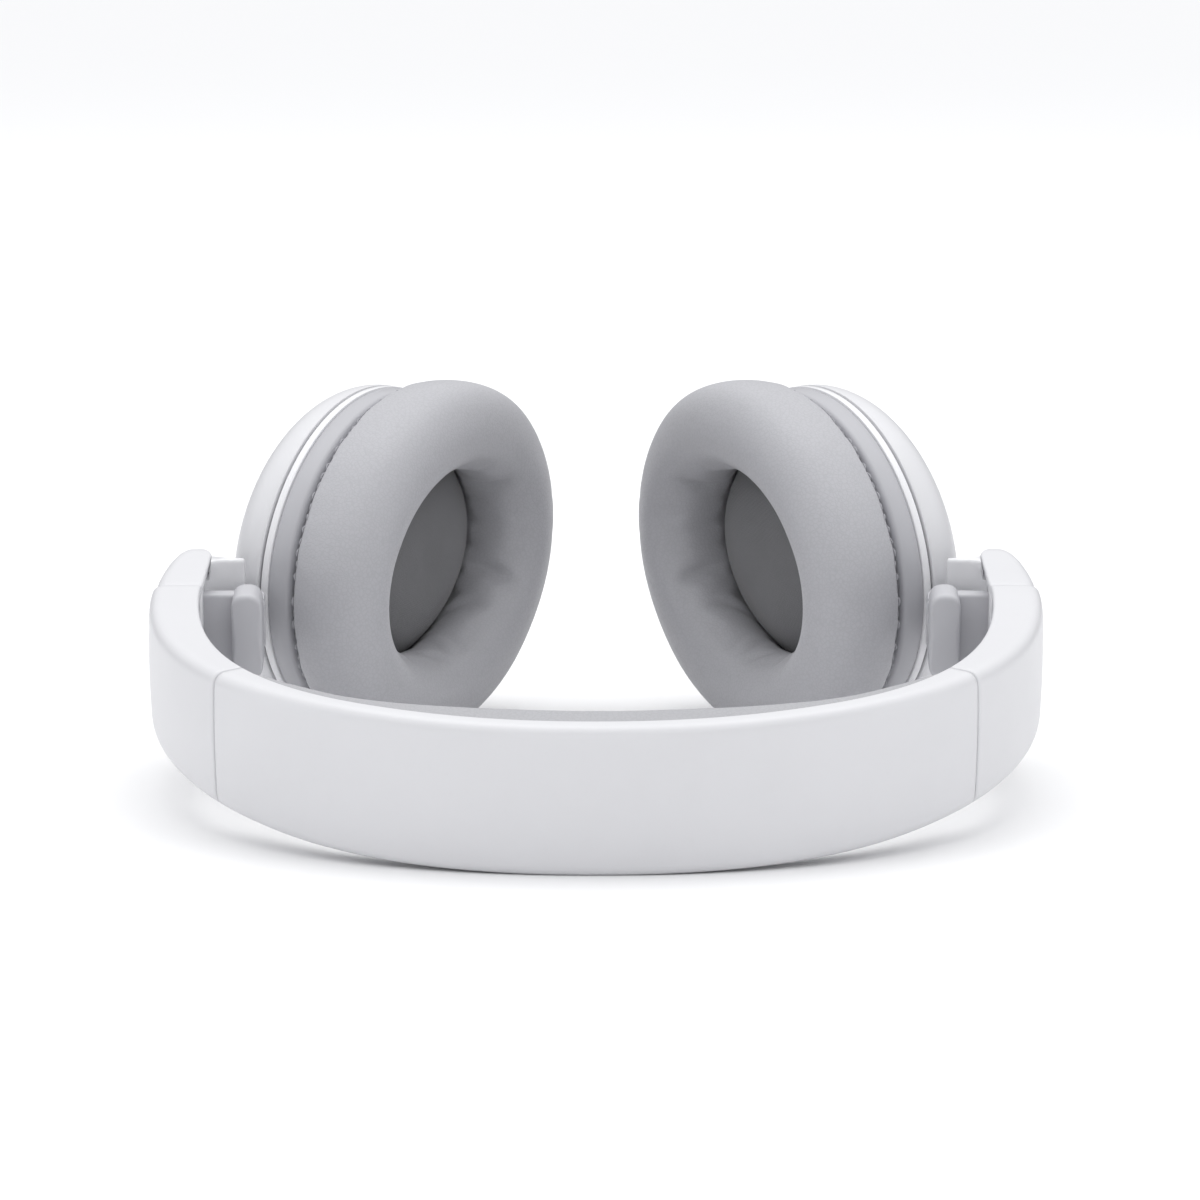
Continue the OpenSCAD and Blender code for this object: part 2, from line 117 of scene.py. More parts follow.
def outline(corners, seg=6):
    """A closed outline from (a, b, radius, points along the edge that follows), its corners rounded."""
    n = len(corners)
    arcs = []
    for i in range(n):
        p = Vector(corners[i][:2])
        a = Vector(corners[i - 1][:2]) - p
        b = Vector(corners[(i + 1) % n][:2]) - p
        r = corners[i][2]
        if r <= 0:
            arcs.append([p])
            continue
        cut = min(r / math.tan(a.angle(b) / 2), a.length * 0.49, b.length * 0.49)
        p0, p1 = p + a.normalized() * cut, p + b.normalized() * cut
        arcs.append([p0 * (1 - t) ** 2 + p * 2 * t * (1 - t) + p1 * t ** 2
                     for t in (k / seg for k in range(seg + 1))])
    out = []
    for i in range(n):
        out += arcs[i]
        a, b = arcs[i][-1], arcs[(i + 1) % n][0]
        m = corners[i][3]
        out += [a.lerp(b, k / m) for k in range(1, m)]
    return [(q.x, q.y) for q in out]


def new_object(name, verts, faces, matrix=None, smooth=True):
    me = bpy.data.meshes.new(name)
    me.from_pydata([tuple(matrix @ Vector(v)) if matrix is not None else tuple(v) for v in verts], [], faces)
    bm = bmesh.new()
    bm.from_mesh(me)
    bmesh.ops.remove_doubles(bm, verts=bm.verts, dist=1e-7)
    bmesh.ops.recalc_face_normals(bm, faces=bm.faces)
    if smooth:
        for f in bm.faces:
            f.smooth = True
    bm.to_mesh(me)
    bm.free()
    me.update()
    ob = bpy.data.objects.new(name, me)
    bpy.context.scene.collection.objects.link(ob)
    return ob


def grid(rows, close_rows=False, close_cols=True, caps=False):
    """Vertices and faces of a tube or sheet from equal rows of points."""
    n, m = len(rows), len(rows[0])
    verts = [p for r in rows for p in r]
    faces = []
    for j in range(n if close_rows else n - 1):
        k = (j + 1) % n
        for i in range(m if close_cols else m - 1):
            h = (i + 1) % m
            faces.append((j * m + i, j * m + h, k * m + h, k * m + i))
    if caps:
        faces.append(tuple(range(m - 1, -1, -1)))
        faces.append(tuple((n - 1) * m + i for i in range(m)))
    return verts, faces


def sharpen(ob, degrees=35):
    """Marks edges sharper than this, so that flat faces stay crisp and curves stay smooth."""
    me = ob.data
    bm = bmesh.new()
    bm.from_mesh(me)
    for e in bm.edges:
        if len(e.link_faces) == 2 and e.calc_face_angle(0) > math.radians(degrees):
            e.smooth = False
    bm.to_mesh(me)
    bm.free()


def give(ob, material, body, *nodes, slot=None):
    ob.data.materials.clear()
    ob.data.materials.append(material)
    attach(ob, body)
    if nodes:
        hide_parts(*nodes)
    return ob


# ---------------------------------------------------------------- materials


def clamp_color(c, k):
    return tuple(min(max(v * k, 0), 1) for v in c)


# The colour sockets of a Mix node
MIX_A, MIX_B, MIX_RESULT = 6, 7, 2


class Shader:
    """A principled material with a few procedural layers on it."""

    def __init__(self, name, color, roughness, metallic=0.0):
        self.mat = bpy.data.materials.new(name)
        self.mat.use_nodes = True
        self.nt = self.mat.node_tree
        self.nt.nodes.clear()
        self.out = self.node("ShaderNodeOutputMaterial")
        self.p = self.node("ShaderNodeBsdfPrincipled")
        self.nt.links.new(self.p.outputs["BSDF"], self.out.inputs["Surface"])
        self.p.inputs["Base Color"].default_value = (*color, 1)
        self.p.inputs["Roughness"].default_value = roughness
        self.p.inputs["Metallic"].default_value = metallic
        self.coord = self.node("ShaderNodeTexCoord").outputs["Object"]

    def node(self, kind, **inputs):
        n = self.nt.nodes.new(kind)
        for k, v in inputs.items():
            self.put(n.inputs[k.replace("_", " ")], v)
        return n

    def put(self, socket, value):
        if isinstance(value, bpy.types.NodeSocket):
            self.nt.links.new(value, socket)
        else:
            socket.default_value = value

    def scaled(self, x, y=None, z=None, turn=(0, 0, 0)):
        n = self.node("ShaderNodeMapping")
        self.put(n.inputs["Vector"], self.coord)
        n.inputs["Scale"].default_value = (x, x if y is None else y, x if z is None else z)
        n.inputs["Rotation"].default_value = turn
        return n.outputs["Vector"]

    def noise(self, scale, detail=3.0, rough=0.55, vector=None):
        n = self.node("ShaderNodeTexNoise", Scale=scale, Detail=detail, Roughness=rough)
        self.put(n.inputs["Vector"], vector if vector is not None else self.coord)
        return n.outputs["Fac"]

    def cells(self, scale, vector=None, feature="F1", out="Distance"):
        n = self.node("ShaderNodeTexVoronoi", Scale=scale)
        n.feature = feature
        self.put(n.inputs["Vector"], vector if vector is not None else self.coord)
        return n.outputs[out]

    def ramp(self, value, lo, hi, a=0.0, b=1.0):
        n = self.node("ShaderNodeMapRange")
        n.inputs["From Min"].default_value = lo
        n.inputs["From Max"].default_value = hi
        n.inputs["To Min"].default_value = a
        n.inputs["To Max"].default_value = b
        self.put(n.inputs["Value"], value)
        return n.outputs["Result"]

    def math(self, op, a, b=0.0, c=0.0):
        n = self.node("ShaderNodeMath")
        n.operation = op
        for k, v in enumerate((a, b, c)):
            self.put(n.inputs[k], v)
        return n.outputs["Value"]

    def tint(self, mask, color):
        """Lays a colour over the base colour where the mask is 1."""
        n = self.node("ShaderNodeMix")
        n.data_type = "RGBA"
        base = self.p.inputs["Base Color"]
        if base.is_linked:
            src = base.links[0].from_socket
            self.nt.links.new(src, n.inputs[MIX_A])
        else:
            n.inputs[MIX_A].default_value = base.default_value
        n.inputs[MIX_B].default_value = (*color, 1)
        self.put(n.inputs[0], mask)
        self.nt.links.new(n.outputs[MIX_RESULT], base)

    def vary_rough(self, mask, lo, hi):
        self.put(self.p.inputs["Roughness"], self.ramp(mask, 0.0, 1.0, lo, hi))

    def bump(self, height, distance, strength=1.0):
        n = self.node("ShaderNodeBump", Strength=strength, Distance=distance)
        self.put(n.inputs["Height"], height)
        normal = self.p.inputs["Normal"]
        if normal.is_linked:
            self.nt.links.new(normal.links[0].from_socket, n.inputs["Normal"])
        self.nt.links.new(n.outputs["Normal"], normal)

    def set(self, **values):
        for k, v in values.items():
            self.p.inputs[k.replace("_", " ")].default_value = v
        return self


def moulded(name, color, rough=0.42, grain=0.05, coat=0.12):
    """Moulded plastic: a fine spark-eroded grain, slow waviness and slight mottling."""
    s = Shader(name, color, rough)
    cloud = s.noise(38, 4, 0.6)
    fine = s.noise(2600, 2, 0.5)
    speck = s.noise(700, 3, 0.65)
    s.tint(s.ramp(cloud, 0.42, 0.72, 0.0, 0.5), clamp_color(color, 0.965))
    s.tint(s.ramp(speck, 0.60, 0.78, 0.0, 0.18), clamp_color(color, 0.90))
    s.vary_rough(cloud, rough - 0.05, rough + 0.07)
    s.bump(s.noise(55, 2, 0.4), 0.00006, 0.35)
    s.bump(fine, 0.000012 + 0.0001 * grain, 0.35)
    s.set(Coat_Weight=coat, Coat_Roughness=0.28, IOR=1.5)
    return s.mat


def leatherette(name, color, rough=0.52):
    """Protein leather: pebbled grain, tiny pores, slow shade variation and a soft sheen."""
    s = Shader(name, color, rough)
    warp = s.noise(240, 3, 0.6)
    n = s.node("ShaderNodeVectorMath")
    n.operation = "ADD"
    w = s.node("ShaderNodeTexNoise", Scale=330.0, Detail=2.0)
    s.put(w.inputs["Vector"], s.coord)
    sc = s.node("ShaderNodeVectorMath")
    sc.operation = "SCALE"
    s.put(sc.inputs[0], w.outputs["Color"])
    sc.inputs["Scale"].default_value = 0.0012
    s.put(n.inputs[0], s.coord)
    s.put(n.inputs[1], sc.outputs[0])
    pebble = s.cells(1150, n.outputs[0], "DISTANCE_TO_EDGE")
    grain = s.ramp(pebble, 0.0, 0.16)
    pore = s.cells(2300, n.outputs[0])
    cloud = s.noise(30, 4, 0.6)
    s.tint(s.ramp(cloud, 0.35, 0.75, 0.0, 0.6), clamp_color(color, 0.93))
    s.tint(s.math("SUBTRACT", 0.30, s.math("MULTIPLY", grain, 0.30)), clamp_color(color, 0.74))
    s.vary_rough(s.math("MULTIPLY", grain, warp), rough + 0.10, rough - 0.08)
    s.bump(s.noise(90, 3, 0.5), 0.00010, 0.4)
    s.bump(grain, 0.00005, 0.45)
    s.bump(s.ramp(pore, 0.0, 0.35), 0.00002, 0.3)
    s.set(Sheen_Weight=0.12, Sheen_Roughness=0.45, Coat_Weight=0.05, Coat_Roughness=0.4, IOR=1.46)
    return s.mat


def woven(name, color, rough=0.85, pitch=0.00055):
    """Fine woven ear cloth: warp and weft threads crossing over and under."""
    s = Shader(name, color, rough)
    k = 2 * math.pi / pitch
    sep = s.node("ShaderNodeSeparateXYZ")
    s.put(sep.inputs[0], s.coord)
    y, z = sep.outputs["Y"], sep.outputs["Z"]
    a = s.math("SINE", s.math("MULTIPLY", y, k))
    b = s.math("SINE", s.math("MULTIPLY", z, k))
    over = s.math("SINE", s.math("MULTIPLY", y, k / 2))
    under = s.math("SINE", s.math("MULTIPLY", z, k / 2))
    swap = s.ramp(s.math("MULTIPLY", over, under), -0.3, 0.3)
    thread = s.math("ADD", s.math("MULTIPLY", s.math("ABSOLUTE", a), swap),
                    s.math("MULTIPLY", s.math("ABSOLUTE", b), s.math("SUBTRACT", 1.0, swap)))
    fuzz = s.noise(3000, 3, 0.7)
    s.tint(s.ramp(thread, 0.75, 0.15, 0.0, 0.75), clamp_color(color, 0.35))
    s.tint(s.ramp(s.noise(60, 3), 0.4, 0.7, 0.0, 0.4), clamp_color(color, 1.18))
    s.bump(thread, 0.00012, 0.7)
    s.bump(fuzz, 0.00002, 0.4)
    s.set(Sheen_Weight=0.35, Sheen_Roughness=0.6)
    return s.mat


def metal(name, color, rough=0.28, axis=1):
    """Brushed steel: long fine scratches one way and faint handling marks."""
    s = Shader(name, color, rough, 1.0)
    stretch = [2600.0, 2600.0, 2600.0]
    stretch[axis] = 60.0
    lines = s.noise(1.0, 3, 0.6, s.scaled(*stretch))
    smudge = s.noise(70, 4, 0.6)
    s.tint(s.ramp(lines, 0.35, 0.7, 0.0, 0.35), clamp_color(color, 0.78))
    s.vary_rough(s.math("MULTIPLY", lines, smudge), rough - 0.04, rough + 0.28)
    s.bump(lines, 0.00001, 0.3)
    s.set(Anisotropic=0.35)
    return s.mat


def plain(name, color, rough, metallic=0.0, coat=0.0, speckle=0.85):
    s = Shader(name, color, rough, metallic)
    cloud = s.noise(140, 4, 0.6)
    s.tint(s.ramp(cloud, 0.4, 0.7, 0.0, 0.6), clamp_color(color, speckle))
    s.vary_rough(cloud, rough - 0.06, rough + 0.1)
    s.bump(s.noise(1800, 2), 0.00001, 0.35)
    s.set(Coat_Weight=coat)
    return s.mat


def board_green():
    """Solder mask with traces showing through as paler lines."""
    s = Shader("mat_board", (0.02, 0.11, 0.06), 0.35)
    k = 2 * math.pi / 0.0011
    sep = s.node("ShaderNodeSeparateXYZ")
    s.put(sep.inputs[0], s.coord)
    lines = s.math("MULTIPLY", s.math("SINE", s.math("MULTIPLY", sep.outputs["Y"], k)),
                   s.ramp(s.cells(450, None, "F1"), 0.2, 0.5))
    s.tint(s.ramp(lines, 0.4, 0.7, 0.0, 0.7), (0.06, 0.24, 0.12))
    s.bump(lines, 0.00002, 0.4)
    s.set(Coat_Weight=0.4)
    return s.mat


WHITE = (0.64, 0.64, 0.66)
M = {
    "white": moulded("mat_white_plastic", WHITE, 0.40),
    # Lighter, glossier white for the cup lip; on the hanger's end wall the same lighter white is a painted
    # highlight on white plastic.
    "white_lip_and_lit_wall": moulded("mat_white_lip_and_lit_wall", (0.76, 0.76, 0.78), 0.30, 0.02, 0.3),
    "grey": moulded("mat_grey_plastic", (0.42, 0.42, 0.445), 0.45),
    # Darker grey: the arm liner's own grey, and painted shade on the white plastic of the hanger body and
    # knuckle.
    "inner": moulded("mat_grey_liner_and_shaded_white_plastic", (0.47, 0.47, 0.495), 0.48),
    "button": moulded("mat_button_plastic", (0.58, 0.58, 0.61), 0.38),
    "leather": leatherette("mat_leatherette", (0.43, 0.43, 0.455)),
    "pad": leatherette("mat_band_leatherette", (0.38, 0.38, 0.40)),
    "cloth": woven("mat_ear_cloth", (0.11, 0.11, 0.12)),
    "steel": metal("mat_spring_steel", (0.60, 0.61, 0.63), 0.26),
    "screw": metal("mat_screw_steel", (0.50, 0.51, 0.53), 0.34, 0),
    "dark": moulded("mat_dark_plastic", (0.045, 0.045, 0.05), 0.5),
    "gap": plain("mat_gap", (0.03, 0.03, 0.033), 0.7),
    "nickel": plain("mat_nickel", (0.62, 0.60, 0.57), 0.22, 1.0),
    "film": plain("mat_membrane", (0.06, 0.06, 0.065), 0.3, 0.0, 0.5),
    "foil": plain("mat_battery_wrap", (0.50, 0.51, 0.53), 0.35, 0.6),
    "board": board_green(),
    "lens": plain("mat_lens", (0.85, 0.88, 0.92), 0.12, 0.0, 0.6, 0.95),
    "thread": plain("mat_thread", (0.36, 0.36, 0.385), 0.7, 0.0, 0.0, 0.7),
    "thread_pad": plain("mat_band_thread", (0.55, 0.55, 0.58), 0.7, 0.0, 0.0, 0.7),
}

# ---------------------------------------------------------------- headband


def channel(w, d, t, floor, bulge=0.35):
    """Section of the shell: a crowned outer face, soft shoulders, flanks, rounded rims and the inside."""
    h, g = w / 2, w / 2 - t
    pts = outline([(d, -h, 0.7, 5), (0, -h, 2.7, 16), (0, h, 2.7, 5), (d, h, 0.7, 2),
                   (d, g, 0.6, 4), (floor, g, 0.6, 14), (floor, -g, 0.6, 4), (d, -g, 0.6, 2)], 7)
    out = []
    for a, z in pts:
        k = max(0.0, 1 - a / 2.7) if abs(z) < h else 0
        out.append((a - bulge * k * (1 - (z / h) ** 2), z))
    return out


def shrink(section, w, d, by):
    """Draws a section in all round, for the small chamfer where two covers meet."""
    cz, cd = 0.0, d / 2
    return [(cd + (a - cd) * (1 - by / max(d / 2, 1)), cz + (z - cz) * (1 - by / (w / 2)))
            for a, z in section]


def shell_run(name, th0, th1, steps, matrix):
    """A length of shell between two angles, its ends drawn in by a fine chamfer."""
    rows = []
    ths = [th0 + (th1 - th0) * i / steps for i in range(steps + 1)]
    eps = (th1 - th0) / abs(th1 - th0)
    marks = [(ths[0], 0.34), (ths[0] + 0.06 * eps, 0.12), (ths[0] + 0.18 * eps, 0.0)]
    marks += [(t, 0.0) for t in ths[1:-1]]
    marks += [(ths[-1] - 0.18 * eps, 0.0), (ths[-1] - 0.06 * eps, 0.12), (ths[-1], 0.34)]
    for th, by in marks:
        w, d = width_at(th), depth_at(th)
        sec = channel(w, d, SHELL_T, SHELL_T)
        if by:
            sec = shrink(sec, w, d, by)
        rows.append([arch_pt(th, a, z) for a, z in sec])
    v, f = grid(rows, caps=True)
    ob = new_object(name, v, f, matrix)
    sharpen(ob, 40)
    return ob


shell = shell_run("shell_cover", -(SEAM_TH - 0.12), SEAM_TH - 0.12, 150, lay())
give(shell, M["white"], "headband", "headband_shell", slot="white_plastic")

for side in SIDES:
    ob = shell_run(f"{side}_arm_shell", -(SEAM_TH + 0.12), -89.72, 60, lay(side))
    give(ob, M["white"], "headband", f"{side}_arm_cover", slot="white_plastic")


def inner_cover(side):
    """The grey liner inside an arm: a shallow dished strip with rounded edges."""
    rows = []
    steps = 60
    for i in range(steps + 1):
        th = -(PAD_TH + 0.3) - i / steps * 31.0
        d, h = depth_at(th), width_at(th) / 2 - SHELL_T - 0.12
        sec = outline([(d - 1.5, -h, 0, 8), (d - 1.5, h, 0, 2),
                       (d - 0.2, h, 0.5, 18), (d - 0.2, -h, 0.5, 2)], 5)
        rows.append([arch_pt(th, a - (0.35 * (1 - (z / h) ** 2) if a > d - 0.9 else 0), z) for a, z in sec])
    v, f = grid(rows, caps=True)
    ob = new_object(f"{side}_arm_liner", v, f, lay(side))
    sharpen(ob, 50)
    return give(ob, M["inner"], "headband", f"{side}_inner_cover", slot="grey_plastic")


for side in SIDES:
    inner_cover(side)


def interp(rows, y):
    """Smooth interpolation of a table of rows by its first column."""
    ys = [r[0] for r in rows]
    k = max(i for i in range(len(ys) - 1) if ys[i] <= y + 1e-9)
    k = min(k, len(ys) - 2)
    t = (y - ys[k]) / (ys[k + 1] - ys[k])
    out = []
    for c in range(1, len(rows[0])):
        def slope(i):
            a, b = max(i - 1, 0), min(i + 1, len(ys) - 1)
            return (rows[b][c] - rows[a][c]) / (ys[b] - ys[a])
        h = ys[k + 1] - ys[k]
        p0, p1, m0, m1 = rows[k][c], rows[k + 1][c], slope(k) * h, slope(k + 1) * h
        out.append((2 * t**3 - 3 * t**2 + 1) * p0 + (t**3 - 2 * t**2 + t) * m0
                   + (3 * t**2 - 2 * t**3) * p1 + (t**3 - t**2) * m1)
    return out


# Down the arm: outer face, inner edge, width
TIP_ROWS = [(-16.6, -17.8, -8.6, 24.2), (-12, -17.9, -8.4, 24.2), (-6, -17.5, -8.2, 24.1),
            (-1, -16.9, -8.0, 24.0), (3, -16.3, -7.9, 24.0), (6, -15.6, -7.8, 24.0),
            (8.5, -14.9, -8.4, 23.9), (10.5, -14.2, -9.2, 23.3),
            (12.2, -13.5, -9.8, 22.0), (13.4, -13.0, -10.1, 20.0), (14.2, -12.9, -10.2, 17.6)]


def slider_tip(side):
    rows = []
    steps = 56
    for i in range(steps + 1):
        y = -16.6 + 30.8 * math.sin(math.pi / 2 * i / steps)
        xo, xi, w = interp(TIP_ROWS, min(y, 14.19))
        u = max(0.0, (y - 12.6) / 1.6)
        xo += 0.9 * u * u
        w -= 2.4 * u * u
        d = xi - xo
        f = ease((y - 3) / 6)
        floor = 1.8 * (1 - f) + (d - 0.8) * f
        sec = channel(w, d, min(1.8, w / 8), min(floor, d - 0.5), 0.3)
        if i < 2:
            sec = shrink(sec, w, d, 0.3 - 0.2 * i)
        rows.append([Vector((xo + a, y, z)) for a, z in sec])
    v, f = grid(rows, caps=True)
    ob = new_object(f"{side}_slider_end", v, f, lay(side, ARM))
    sharpen(ob, 48)
    return give(ob, M["white"], f"{side}_slider", f"{side}_slider_tip", slot="white_plastic")


for side in SIDES:
    slider_tip(side)


def thread(name, path, radius, gap, material, body, matrix):
    """Short stitches laid along a path, each a bent capsule that dips into the skin at its ends."""
    length = [0.0]
    for a, b in zip(path, path[1:]):
        length.append(length[-1] + (b[0] - a[0]).length)
    total = length[-1]
    count = int(total / gap)

    def at(s):
        k = min(np.searchsorted(length, s, side="right") - 1, len(path) - 2)
        t = (s - length[k]) / max(length[k + 1] - length[k], 1e-9)
        return path[k][0].lerp(path[k + 1][0], t), path[k][1].lerp(path[k + 1][1], t).normalized()
    verts, faces = [], []
    ringn, seg = 7, 6
    for i in range(count):
        s0 = (i + 0.16) * total / count
        s1 = (i + 0.84) * total / count
        base = len(verts)
        for j in range(seg + 1):
            f = j / seg
            p, nrm = at(s0 + (s1 - s0) * f)
            q, _ = at(min(s0 + (s1 - s0) * f + 0.01, total))
            d = (q - p).normalized() if (q - p).length > 1e-9 else (path[-1][0] - path[-2][0]).normalized()
            side_v = d.cross(nrm).normalized()
            lift = radius * (1.1 * math.sin(math.pi * f) - 0.45)
            r = radius * (0.45 + 0.55 * math.sin(math.pi * min(max(f, 0.04), 0.96)) ** 0.5)
            for a in range(ringn):
                w = 2 * math.pi * a / ringn
                verts.append(p + nrm * (lift + r * math.sin(w)) + side_v * r * math.cos(w))
        for j in range(seg):
            for a in range(ringn):
                b = (a + 1) % ringn
                faces.append((base + j * ringn + a, base + j * ringn + b,
                              base + (j + 1) * ringn + b, base + (j + 1) * ringn + a))
        faces.append(tuple(base + a for a in range(ringn - 1, -1, -1)))
        faces.append(tuple(base + seg * ringn + a for a in range(ringn)))
    ob = new_object(name, verts, faces, matrix)
    return give(ob, material, body, slot="leatherette")


def pad_section(th):
    """Half-round padding below the rims: outline points, and the two seam lines as [depth, z]."""
    s = abs(th) / PAD_TH
    w, d = width_at(th) / 2, depth_at(th)
    h = w - SHELL_T - 0.15
    k = 1 - 0.8 * s ** 6
    b = (PAD_DEPTH - (PAD_DEPTH - PAD_END) * ease((abs(th) - 6) / 30)) * k
    g = 0.45 + (1 - k) * 2.5
    ring = [(d + 0.02, -h, 0, 3), (d + 0.15, -w + g, 0.8, 4), (d + b * 0.84, -w + g * 0.9, 2.2, 3),
            (d + b * 0.95, -w + g + 4.6, 3.4, 10), (d + b * 1.0, 0, 0, 10),
            (d + b * 0.95, w - g - 4.6, 3.4, 3),
            (d + b * 0.84, w - g * 0.9, 2.2, 4), (d + 0.15, w - g, 0.8, 3),
            (d + 0.02, h, 0, 2), (d - 1.4, h, 0.3, 8), (d - 1.4, -h, 0.3, 2)]
    return outline(ring, 5), (d + b * 0.88, w - g - 2.6)


def band_pad():
    """The crown's padding: a crowned strip of leatherette, faintly puckered along its seams."""
    rows, steps = [], 420
    for i in range(steps + 1):
        th = (i / steps * 2 - 1) * PAD_TH
        sec, seam = pad_section(th)
        row = []
        for a, z in sec:
            p = arch_pt(th, a, z)
            near = math.exp(-((abs(z) - seam[1]) / 1.3) ** 2) if a > depth_at(th) + 0.6 else 0.0
            dip = 0.38 * near * (1 + 0.5 * math.sin(i / steps * 2 * math.pi * 62))
            soft = 0.16 * noise.noise(Vector((p.x, p.y, z)) * 0.16) if a > depth_at(th) + 0.8 else 0.0
            row.append(arch_pt(th, a - dip + soft, z))
        rows.append(row)
    v, f = grid(rows, caps=True)
    ob = new_object("band_padding", v, f, lay())
    give(ob, M["pad"], "headband", "headband_pad", slot="leatherette")
    return ob


band_pad()

# ---------------------------------------------------------------- ear cups

CUP_A, CUP_B, SEAM_T, DOME = 44.3, 35.4, -7.3, 14.6
CUSHION_A, CUSHION_B = 48.4, 37.6
PORT_T, BUTTON_T = -12.2, -11.4
LOOP = 160


def oval(t, a, b, n=LOOP, phase=0.0):
    return [Vector((t, a * math.cos(w), b * math.sin(w)))
            for w in (2 * math.pi * (i + phase) / n for i in range(n))]


def oval_ring(name, profile, side, n=LOOP):
    """A ring from a closed profile of (inwards, half height, half width)."""
    v, f = grid([oval(*p, n) for p in profile], close_rows=True)
    return new_object(name, v, f, lay(side, CUP))


def oval_bowl(name, profile, side, n=LOOP):
    """A closed bowl whose profile starts and ends on the centre line."""
    rows = [oval(*p, n) for p in profile[1:-1]]
    v, f = grid(rows)
    v += [Vector((profile[0][0], 0, 0)), Vector((profile[-1][0], 0, 0))]
    k, m = len(v) - 2, (len(rows) - 1) * n
    f += [(k, (i + 1) % n, i) for i in range(n)]
    f += [(k + 1, m + i, m + (i + 1) % n) for i in range(n)]
    return new_object(name, v, f, lay(side, CUP))


def dome_rows(a, b, t0, depth, steps, edge):
    """A soft-shouldered dome: a superellipse in section, with a small rounded edge at the seam."""
    rows = []
    for i in range(steps + 1):
        w = math.pi / 2 * i / steps
        r = math.cos(w) ** (2 / 3.1)
        d = math.sin(w) ** (2 / 2.15)
        rows.append((t0 - depth * d, a * r, b * r))
    rows = [(t0, a - edge, b - edge), (t0 - edge * 0.3, a - edge * 0.3, b - edge * 0.3)] + [
        (t if i else t0 - edge, x, y) for i, (t, x, y) in enumerate(rows)]
    return rows


def carve(ob, cutters):
    """Cuts each cutter out of the object and removes the cutters."""
    for c in cutters:
        mod = ob.modifiers.new("cut", "BOOLEAN")
        mod.operation, mod.solver, mod.object = "DIFFERENCE", "EXACT", c
    bpy.context.view_layer.update()
    dg = bpy.context.evaluated_depsgraph_get()
    me = bpy.data.meshes.new_from_object(ob.evaluated_get(dg))
    ob.modifiers.clear()
    ob.data = me
    for c in cutters:
        bpy.data.objects.remove(c)


def prism(name, section, lo, hi, axis, matrix, ease_by=0.0):
    """A bar with the given outline of (a, b) from lo to hi along an axis, its ends eased by a chamfer."""
    order = {"x": lambda a, b, h: (h, a, b), "y": lambda a, b, h: (a, h, b),
             "z": lambda a, b, h: (a, b, h)}[axis]
    ca = sum(p[0] for p in section) / len(section)
    cb = sum(p[1] for p in section) / len(section)
    rows = []
    turn = [math.radians(a) for a in (0, 18, 36, 54, 72, 90)]
    marks = [(lo + ease_by * (1 - math.sin(a)), 1 - math.cos(a)) for a in reversed(turn)]
    marks += [(hi - h + lo, k) for h, k in reversed(marks)]
    if not ease_by:
        marks = [(lo, 0), (hi, 0)]
    for h, k in marks:
        rows.append([])
        for a, b in section:
            r = math.hypot(a - ca, b - cb)
            s = 1 - (ease_by * k / r if r else 0)
            rows[-1].append(order(ca + (a - ca) * s, cb + (b - cb) * s, h))
    v, f = grid(rows, caps=True)
    ob = new_object(name, v, f, matrix)
    sharpen(ob, 50)
    return ob


def circle(r, a=0.0, b=0.0, n=48):
    return [(a + r * math.cos(2 * math.pi * i / n), b + r * math.sin(2 * math.pi * i / n)) for i in range(n)]


def rounded(w, h, r, a=0.0, b=0.0):
    return [(x + a, y + b) for x, y in outline([(-w / 2, -h / 2, r, 2), (w / 2, -h / 2, r, 2),
                                               (w / 2, h / 2, r, 2), (-w / 2, h / 2, r, 2)], 8)]


BUTTONS = {"left": {"power_button": -6, "mode_button": 6},
           "right": {"volume_up_button": -11, "play_button": 0, "volume_down_button": 11}}


def housing(side):
    outer = dome_rows(CUP_A, CUP_B, SEAM_T, DOME, 44, 0.45)
    inner = dome_rows(CUP_A - 2, CUP_B - 2, SEAM_T, DOME - 1.8, 20, 0.1)
    prof = [(outer[-1][0], 0, 0)] + outer[-2::-1] + inner[:-1] + [(inner[-1][0], 0, 0)]
    ob = oval_bowl(f"{side}_cup_shell", prof, side)
    m = lay(side, CUP)
    cutters = [prism("c", [(-11.7, -2.9), (-6, -2.9), (-6, 2.9), (-11.7, 2.9)], -50, -38.5, "y", m)]
    cutters += [prism("c", circle(2.62, BUTTON_T, u), -40, -28, "z", m) for u in BUTTONS[side].values()]
    cutters.append(prism("c", circle(1.45, PORT_T, 16.5), 33, 50, "y", m))
    if side == "left":
        cutters.append(prism("c", circle(3.4, PORT_T, 8.5), 34, 50, "y", m))
        cutters.append(prism("c", rounded(3.5, 8.7, 1.7, PORT_T, -8), 33, 50, "y", m))
        cutters.append(prism("c", circle(0.9, PORT_T, 1.2), 34, 50, "y", m))
    carve(ob, cutters)
    sharpen(ob, 40)
    give(ob, M["white"], f"{side}_cup", f"{side}_housing", slot="white_plastic")


for side in SIDES:
    housing(side)


